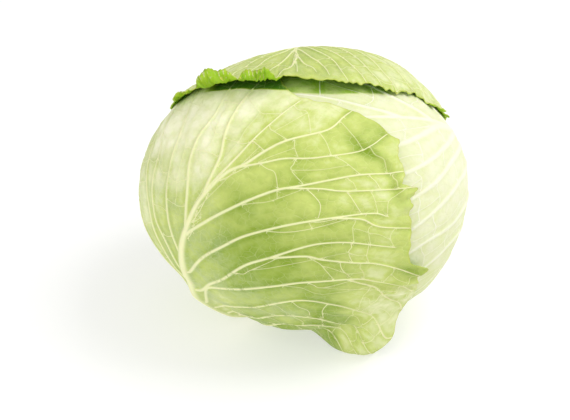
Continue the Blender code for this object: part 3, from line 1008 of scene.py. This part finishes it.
def right_tissue_and_painted_shade(face):
    across, along = face["across"], face["along"]
    green = 0.20 + 0.30 * smooth_step((-along - 10.0) / 55.0)
    green = green - 0.18 * np.exp(-(((across + 18.0) / 24.0) ** 2) - ((along - 12.0) / 26.0) ** 2)
    # Painted shade: greener under the back leaf's margin.
    return green + 0.66 * painted_back_leaf_shade(face["directions"]), 0.10 + 0.0 * across


right_leaf = grow_leaf(
    "right_leaf_blade",
    dict(
        level=-1, middle=RIGHT_MIDDLE, azimuth=FIRST_LEAF_AZIMUTH + 2 * GOLDEN_ANGLE, seed=53, quilt=0.35,
        outline=right_outline, ribs=right_ribs(), drape=no_drape, shape=plain_leaf_shape,
        tissue=right_tissue_and_painted_shade,
    ),
    RIGHT_CELLS,
    pale_leaf,
)
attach(right_leaf, "root")
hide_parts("right_leaf")


# Front leaf -------------------------------------------------------------------------------------
# The big green leaf that faces the front. Its thick midrib comes up from the stem on the left
# and its side ribs sweep across the head. The right margin is folded into a pale welt, and the
# lowest lobe has come away and hangs down to the table.
FRONT_MIDDLE = 78.0
FRONT_SPAN = 77.0
FRONT_CELLS = (300, 75)
FRONT_LOBES = ((80.0, 22.0, -14.0), (50.0, 20.0, 4.0), (-24.0, 15.0, 13.0), (-51.0, 15.0, 19.0))
# The hanging lobe: its angle round the leaf and width, the degrees from the leaf's middle where
# it leaves the head and over which it does, and how far its end swings in metres.
FLAP_DIRECTION = -51.0
FLAP_WIDTH = 17.0
FLAP_FROM = 74.0
FLAP_OVER = 20.0
FLAP_SWING = (-0.005, -0.015, -0.019)
# Torn corners of the margin: angle round the leaf, width and degrees that stand out (+) or are
# missing (-).
FRONT_TEARS = (
    (-8.5, 2.6, 6.0), (24.0, 2.4, 3.5), (28.5, 1.6, -2.0), (37.0, 3.0, -1.5), (44.0, 1.6, 2.0),
    (-60.5, 3.2, 8.0), (-38.0, 3.0, 3.0), (-44.0, 3.0, -3.0), (-67.5, 3.0, -3.0), (-52.0, 2.0, -2.5),
    (-56.5, 1.3, 2.5), (-47.5, 1.3, 2.5),
)


def front_outline(angle):
    reach = round_outline(angle, 0, FRONT_MIDDLE, FRONT_SPAN, FRONT_LOBES)
    for direction, width, extra in FRONT_TEARS:
        reach = reach + extra * bell(angle, direction, width)
    reach = reach + ragged(angle, 61, ((12, 0.35), (60, 0.25)))
    teeth = bell(angle, 24.0, 6.0) + 1.6 * bell(angle, -56.0, 14.0) + 0.6 * bell(angle, 42.0, 5.0)
    reach = reach + ragged(angle, 66, ((34, 0.9),)) * bell(angle, -54.0, 12.0)
    return reach + ragged(angle, 64, ((90, 0.35), (170, 0.45))) * teeth


def front_ribs():
    trunk = trunk_rib([
        (0, -94), (-4, -66), (-5, -48), (-3, -20), (-1, -6), (2, 8), (5, 18), (9, 31), (12, 46), (15, 60)
    ], 4.6)
    left = [trunk] + [branch(trunk, places) for places in (
        ((4, 18), (3, 27), (-2, 39), (-7, 56), (-9, 66)),
        ((-1, 1), (-3, 10), (-8, 21), (-11, 31), (-12, 42), (-17, 52), (-24, 64)),
        ((-4, -16), (-7, -10), (-10, -4), (-13, 5), (-15, 11), (-19, 22), (-22, 28), (-30, 38), (-42, 52)),
        ((-5, -26), (-12, -15), (-18, -8), (-22, 1), (-25, 8), (-29, 18), (-42, 30), (-56, 42)),
        ((-5, -33), (-14, -22), (-20, -12), (-25, -3), (-30, 5), (-39, 15), (-54, 24), (-70, 28)),
        ((-5, -40), (-18, -30), (-30, -18), (-42, -6), (-58, 4), (-76, 10)),
        ((-5, -46), (-18, -40), (-34, -31), (-52, -20), (-74, -10)),
        ((-5, -53), (-18, -50), (-36, -45), (-54, -38), (-70, -28)),
        ((-4, -60), (-16, -60), (-32, -60), (-50, -56), (-62, -46)),
    )]
    upper = branch(trunk, ((4, 14), (8, 23), (13, 29), (17, 36), (22, 43), (32, 52), (34, 60), (35, 64)))
    third = branch(trunk, ((1, -4), (6, 2), (13, 10), (25, 22), (33, 27), (49, 36), (64, 41), (70, 44)))
    fourth = branch(trunk, ((0, -24), (7, -13), (15, -4), (22, 3), (34, 11), (47, 17), (60, 21), (66, 20)))
    fifth = branch(trunk, (
        (1, -36), (8, -27), (15, -20), (23, -10), (31, -4), (41, 3), (48, 6), (57, 7), (72, 4)
    ))
    sixth = branch(trunk, (
        (0, -44), (5, -32), (14, -26), (26, -21), (43, -14), (59, -12), (67, -15), (76, -21), (83, -32)
    ))
    right = [
        trunk,
        upper,
        branch(upper, ((13, 29), (19, 32), (25, 36), (35, 40), (48, 48), (53, 58)), half=0.5, run=3.0),
        third,
        branch(third, ((32, 26), (40, 28), (48, 29), (65, 33), (74, 35)), half=0.45, run=3.0),
        fourth,
        branch(fourth, ((49, 17), (57, 18), (64, 15), (76, 14)), half=0.5, run=3.0),
        fifth,
        branch(
            fifth, ((34, -2), (42, -1), (48, -2), (58, -3), (66, -4), (75, -9), (84, -17)), half=0.6, run=4.0
        ),
        sixth,
        branch(sixth, ((61, -12), (67, -19), (71, -28), (76, -38), (78, -50)), half=0.5, run=3.0),
    ]
    right += [branch(trunk, places) for places in (
        ((3, -50), (9, -44), (15, -40), (24, -34), (40, -25), (52, -28), (62, -38), (70, -54), (74, -58)),
        ((3, -58), (10, -52), (20, -47), (33, -38), (45, -38), (54, -48), (62, -62), (65, -68)),
        ((3, -64), (14, -58), (30, -50), (41, -47), (50, -56), (56, -68), (58, -76)),
        ((2, -70), (14, -66), (26, -62), (38, -60), (46, -66), (50, -76)),
        ((2, -78), (12, -76), (24, -76), (34, -78), (40, -80)),
    )]
    return left + right[1:] + cross_veins(left, 62, spacing=12.0) + cross_veins(right, 65, spacing=9.5)


# The fold inside the welt, and millimetres of relief: the step at the fold, the swell before it,
# and the thick base of the midrib.
WELT = smooth_route([(34, 56), (41, 52), (49, 48), (58, 44), (64, 37), (68, 30), (71, 24), (74, 17)], 5)
WELT_STEP = 2.1
WELT_SWELL = 0.8
MIDRIB_SWELL = 5.4


def beside_welt(across, along):
    """Signed degrees from the fold inside the welt, positive towards the margin, and how far
    along it each place lies, from 0 to 1."""
    start, step = WELT[:-1], np.diff(WELT, axis=0)
    away = np.stack([across, along], -1)[..., None, :] - start
    share = np.clip((away * step).sum(-1) / (step**2).sum(-1), 0.0, 1.0)
    gap = away - share[..., None] * step
    distance = np.hypot(gap[..., 0], gap[..., 1])
    best = distance.argmin(-1)[..., None]
    cross = step[:, 0] * away[..., 1] - step[:, 1] * away[..., 0]
    signed = np.take_along_axis(distance * np.sign(cross), best, -1)[..., 0]
    place = (best[..., 0] + np.take_along_axis(share, best, -1)[..., 0]) / len(step)
    return signed, place


def front_drape(across, along):
    signed, place = beside_welt(across, along)
    full = smooth_step(place / 0.35) * smooth_step((1.0 - place) / 0.3)
    step_up = smooth_step((signed + 0.6) / 2.2) * np.exp(-np.maximum(signed - 2.0, 0.0) / 7.0)
    swell = np.exp(-(((signed + 9.0) / 5.5) ** 2))
    base = np.exp(-(((across + 4.0) / 7.0) ** 2)) * smooth_step((-along - 32.0) / 12.0)
    return full * (WELT_STEP * step_up + WELT_SWELL * swell) + MIDRIB_SWELL * base


# Ripples where the leaf is slack: middle of the patch, its width, the direction that the
# ripples cross, degrees from one to the next and their height in millimetres.
FRONT_RIPPLES = (
    ((52.0, -48.0), 14.0, 40.0, 11.0, 1.6),
    ((78.0, -22.0), 10.0, 30.0, 7.0, 1.3),
    ((30.0, -58.0), 13.0, 10.0, 10.0, 1.0),
)


def front_shape(face):
    points, angle, reach, margin = face["points"], face["angle"], face["reach"], face["margin"]
    ripple = 0.0 * angle
    for (across, along), width, crossing, wavelength, height in FRONT_RIPPLES:
        away = np.stack([face["across"] - across, face["along"] - along], -1)
        patch = np.exp(-((away / width) ** 2).sum(-1))
        ripple = ripple + height * patch * (1.0 + np.sin(away @ heading(crossing) * math.tau / wavelength))
    # The margin curls up on the right, and two torn corners stand off the leaf underneath.
    curl = 2.5 * np.exp(-margin / 8.0) * bell(angle, 2.0, 12.0)
    torn = 2.2 * np.exp(-margin / 5.0) * bell(angle, 22.0, 6.0) * np.sin(np.radians(angle) * 62.0)
    corner = 3.0 * np.exp(-margin / 7.0) * bell(angle, -8.5, 4.0)
    points = points + face["normals"] * (ripple + curl + torn + corner)[..., None] * 0.001
    # The lowest lobe hangs away from the head.
    free = smooth_step((reach - FLAP_FROM) / FLAP_OVER)
    weight = free * np.exp(-((angle_between(angle, FLAP_DIRECTION) / FLAP_WIDTH) ** 4))
    return points + weight[..., None] * np.array(FLAP_SWING)


# How green the front leaf is and how much bloom it has, at places in degrees from its middle.
# Partly the leaf's own colour and partly painted light and shade: greener low down, where the
# leaf turns under away from the lamps, and paler at the upper left and low on the right, to
# make up for the shade that the lamps leave there.
FRONT_GREEN_AND_PAINTED_LIGHT = (
    (-34, 30, 0.00, 0.00), (-10, 50, 0.04, 0.00), (20, 58, 0.26, 0.00), (45, 62, 0.55, 0.00),
    (-27, 0, 0.20, 0.45), (-8, -6, 0.48, 0.65), (-11, 32, 0.00, 0.00), (-8, 18, 0.16, 0.25),
    (8, 34, 0.24, 0.10),
    (18, 34, 0.52, 0.00), (34, 46, 0.42, 0.00), (52, 46, 0.50, 0.00), (62, 46, 0.20, 0.10),
    (2, 6, 0.45, 0.55), (3, -17, 0.60, 0.85), (20, 12, 0.72, 0.10), (30, 26, 0.64, 0.00),
    (44, 28, 0.46, 0.05), (60, 24, 0.34, 0.15), (70, 18, 0.42, 0.15), (26, 4, 0.86, 0.10),
    (38, 12, 0.56, 0.05), (52, 12, 0.60, 0.05), (12, -10, 0.72, 0.55), (21, -8, 0.98, 0.20),
    (34, -3, 0.84, 0.05), (46, 0, 0.62, 0.10), (63, 0, 0.40, 0.20), (74, 2, 0.44, 0.15),
    (10, -24, 0.50, 0.75), (22, -19, 0.84, 0.40), (35, -14, 0.88, 0.10), (50, -12, 0.62, 0.15),
    (65, -14, 0.36, 0.15), (78, -18, 0.50, 0.00), (84, -12, 0.72, 0.00), (8, -40, 0.40, 0.85),
    (24, -30, 0.60, 0.70), (38, -25, 0.66, 0.55), (50, -26, 0.86, 0.20), (62, -28, 0.36, 0.10),
    (74, -40, 0.28, 0.05), (22, -47, 0.84, 0.45), (36, -42, 0.62, 0.75), (48, -44, 0.88, 0.30),
    (60, -58, 0.34, 0.10), (70, -66, 0.30, 0.00), (0, -60, 0.35, 0.30), (-30, -30, 0.40, 0.50),
    (18, -62, 0.92, 0.45), (34, -60, 0.86, 0.35), (68, -34, 0.14, 0.00), (78, -30, 0.16, 0.00),
    (-46, 36, 0.08, 0.10), (-50, 12, 0.24, 0.30), (-62, 22, 0.20, 0.25), (-64, -4, 0.34, 0.35),
    (-50, -16, 0.36, 0.40), (-52, -38, 0.42, 0.45),
)


def front_tissue_and_painted_light(face):
    across, along = face["across"], face["along"]
    total, green, waxy = 1e-6 + 0.0 * across, 0.0 * across, 0.0 * across
    # The table mixes the leaf's own colour with painted light and shade.
    for right, up, greenness, bloom in FRONT_GREEN_AND_PAINTED_LIGHT:
        weight = np.exp(-(((across - right) ** 2 + (along - up) ** 2) / 8.0**2)) + 1e-5
        total, green, waxy = total + weight, green + weight * greenness, waxy + weight * bloom
    green, waxy = green / total, waxy / total
    # Painted shade: darker green in the fold inside the welt, and a little greener on the strip past the
    # fold, which faces the key lamp.
    signed, place = beside_welt(across, along)
    full = smooth_step(place / 0.3) * smooth_step((1.0 - place) / 0.3)
    green = green + 0.32 * full * np.exp(-(((signed + 0.8) / 2.2) ** 2))
    green = green + 0.12 * full * smooth_step(signed / 2.0)
    # Painted shade: dark green under the back leaf's margin, with no bloom there.
    shade = painted_back_leaf_shade(face["directions"])
    return np.clip(green + 1.6 * shade, 0.0, 1.8), 0.8 * waxy * (1.0 - shade)


green_leaf = leaf_material(
    "green_leaf_blade",
    pale=colour_of(250, 250, 212),
    mid=colour_of(197, 210, 112),
    deep=colour_of(136, 163, 38),
    bloom_colour=colour_of(184, 197, 150),
    rib_colour=colour_of(240, 240, 186),
    inside_light=colour_of(204, 234, 60),
    inside_deep=colour_of(154, 200, 30),
    inside_rib=colour_of(232, 234, 110),
)

front_leaf = grow_leaf(
    "front_leaf_blade",
    dict(
        level=0, middle=FRONT_MIDDLE, azimuth=FIRST_LEAF_AZIMUTH + GOLDEN_ANGLE, seed=63, quilt=0.5,
        outline=front_outline, ribs=front_ribs(), drape=front_drape, shape=front_shape,
        tissue=front_tissue_and_painted_light,
    ),
    FRONT_CELLS,
    green_leaf,
)
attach(front_leaf, "root")
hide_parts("front_leaf")


# Back leaf --------------------------------------------------------------------------------------
# The outermost leaf, which covers the back and comes forward over the crown. Its front margin
# stands off the head, and on the left it has rolled back into a frill that shows the darker
# inner face.
BACK_CELLS = (280, 140)
# Where the margin lifts (+) or is pressed down (-): angle round the leaf, width, height in metres.
BACK_LIFTED = ((90.0, 30.0, 0.0042), (50.0, 18.0, 0.0035), (142.0, 25.0, -0.0027))
# The frill: angle round the leaf, width of the bell and millimetres of margin that roll back.
FRILL_PARTS = (
    (60.0, 8.0, 15.5), (75.0, 7.2, 14.0), (42.0, 7.0, 7.0),
    (139.5, 2.6, 5.0), (147.5, 2.6, 6.0), (154.0, 2.2, 5.0),
)
FRILL_ROLL = 0.0060  # radius of the roll


def frill_width(angle):
    """Millimetres of the margin that roll back, round the leaf."""
    width = 0.0 * angle
    for direction, spread, most in FRILL_PARTS:
        width = np.maximum(width, most * np.exp(-((angle_between(angle, direction) / spread) ** 4)))
    return width


def back_outline(angle):
    frill = frill_width(angle)
    return (
        round_outline(angle, 1, BACK_MIDDLE, BACK_SPAN, BACK_LOBES)
        + frill / MM_PER_DEGREE
        + ragged(angle, 71, ((14, 0.5), (60, 0.30)))
        + ragged(angle, 72, ((110, 0.35), (210, 0.35))) * np.minimum(frill / 5.0, 1.0)
        + ragged(angle, 75, ((110, 0.5),)) * bell(angle, 125.0, 26.0)
    )


def back_ribs():
    trunk = trunk_rib([(0, -94), (0, -50), (0, -15), (1, 20), (4, 55), (4, 83)], 4.4, 0.22)
    viewers_right = [trunk] + [branch(trunk, places, half=0.55, thin=0.22) for places in (
        ((4, 70), (1, 74), (-3, 78), (-5, 82)),
        ((4, 60), (-1, 67), (-6, 73), (-9, 78), (-11, 84)),
        ((3, 52), (-4, 60), (-10, 67), (-14, 73), (-17, 80), (-21, 85)),
        ((3, 45), (-5, 54), (-12, 61), (-19, 69), (-25, 76), (-31, 83)),
        ((2, 38), (-6, 47), (-13, 52), (-21, 61), (-29, 70), (-40, 80)),
        ((2, 30), (-7, 40), (-16, 47), (-26, 56), (-36, 66), (-50, 74)),
        ((1, 22), (-8, 32), (-20, 42), (-32, 50), (-44, 58), (-56, 63)),
        ((1, 13), (-10, 24), (-24, 33), (-38, 41), (-52, 47), (-64, 50)),
        ((0, 2), (-12, 12), (-28, 21), (-46, 28), (-68, 33)),
        ((0, -10), (-14, -2), (-32, 5), (-50, 10), (-68, 11)),
        ((0, -22), (-14, -17), (-32, -13), (-50, -12), (-66, -15)),
        ((0, -34), (-14, -31), (-30, -31), (-46, -34), (-60, -40)),
        ((0, -46), (-12, -45), (-26, -48), (-38, -54)),
        ((0, -56), (-10, -57), (-20, -61), (-28, -66)),
    )]
    viewers_left = [trunk] + [branch(trunk, places, half=0.55, thin=0.22) for places in (
        ((4, 74), (7, 78), (11, 82), (14, 86)),
        ((4, 60), (8, 67), (13, 74), (17, 80), (22, 88)),
        ((4, 52), (9, 58), (16, 63), (22, 70), (31, 83)),
        ((3, 42), (9, 50), (18, 57), (27, 65), (40, 78)),
        ((3, 30), (11, 40), (22, 49), (34, 57), (50, 68)),
        ((2, 19), (12, 29), (26, 39), (42, 48), (58, 57)),
        ((1, 8), (14, 19), (30, 29), (48, 38), (66, 46)),
        ((0, -6), (16, 5), (34, 14), (52, 20), (70, 24)),
        ((0, -18), (16, -10), (34, -4), (52, 0), (68, 0)),
        ((0, -30), (14, -25), (30, -22), (48, -22), (64, -26)),
        ((0, -42), (12, -39), (26, -39), (42, -44), (54, -50)),
        ((0, -53), (10, -53), (20, -56), (32, -63)),
    )]
    veins = cross_veins(viewers_right, 73, spacing=9.0) + cross_veins(viewers_left, 74, spacing=9.0)
    return viewers_right + viewers_left[1:] + veins


def roll_back(face, width, radius):
    """How far each point moves when the margin's last width mm roll away from the head."""
    past = np.maximum(width - face["margin"], 0.0) * 0.001
    turned = past / radius
    outer = radius + face["depth"]
    forward = outer * np.sin(turned) - past
    upward = outer * (1.0 - np.cos(turned))
    rolled = forward[..., None] * face["leaving"] + upward[..., None] * face["normals"]
    return np.where((past > 0.0)[..., None], rolled, 0.0)


def back_shape(face):
    points, angle, margin = face["points"], face["angle"], face["margin"]
    frill = frill_width(angle)
    free = smooth_step((face["reach"] / (face["outline"] - frill / MM_PER_DEGREE) - 0.84) / 0.16)
    lift = 0.0 * angle
    for direction, width, height in BACK_LIFTED:
        lift = lift + height * free * bell(angle, direction, width)
    # The front margin waves a little, and the frill is ruffled before it rolls back.
    close = np.exp(-margin / 6.0)
    lift = lift + 0.0010 * close * bell(angle, 105.0, 40.0) * np.sin(np.radians(angle) * 23.0)
    lift = lift + 0.0008 * close * bell(angle, 130.0, 16.0) * np.sin(np.radians(angle) * 70.0)
    ruffle = np.minimum(frill / 9.0, 1.0) * np.exp(-margin / 7.0)
    lift = lift + 0.0006 * ruffle * np.sin(np.radians(angle) * 44.0)
    points = points + face["normals"] * lift[..., None]
    sideways = 0.0012 * ruffle * np.sin(np.radians(angle) * 58.0 + 1.0)
    points = points + face["leaving"] * sideways[..., None]
    return points + roll_back(face, frill, FRILL_ROLL)


def back_tissue(face):
    across, along, angle = face["across"], face["along"], face["angle"]
    green = 0.42 + 0.12 * np.exp(-((across / 26.0) ** 2) - ((along - 70.0) / 25.0) ** 2)
    green = green - 0.20 * np.exp(-(((across + 46.0) / 22.0) ** 2))
    green = green - 0.10 * np.exp(-(((across - 40.0) / 20.0) ** 2))
    green = green + 0.30 * np.exp(-face["margin"] / 3.0) * bell(angle, 130.0, 20.0)
    return green, 0.25 + 0.0 * across


back_leaf = grow_leaf(
    "back_leaf_blade",
    dict(
        level=1, middle=BACK_MIDDLE, azimuth=FIRST_LEAF_AZIMUTH, seed=74, quilt=0.45, outline=back_outline,
        ribs=back_ribs(), drape=no_drape, shape=back_shape, tissue=back_tissue,
    ),
    BACK_CELLS,
    green_leaf,
)
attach(back_leaf, "root")
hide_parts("back_leaf")
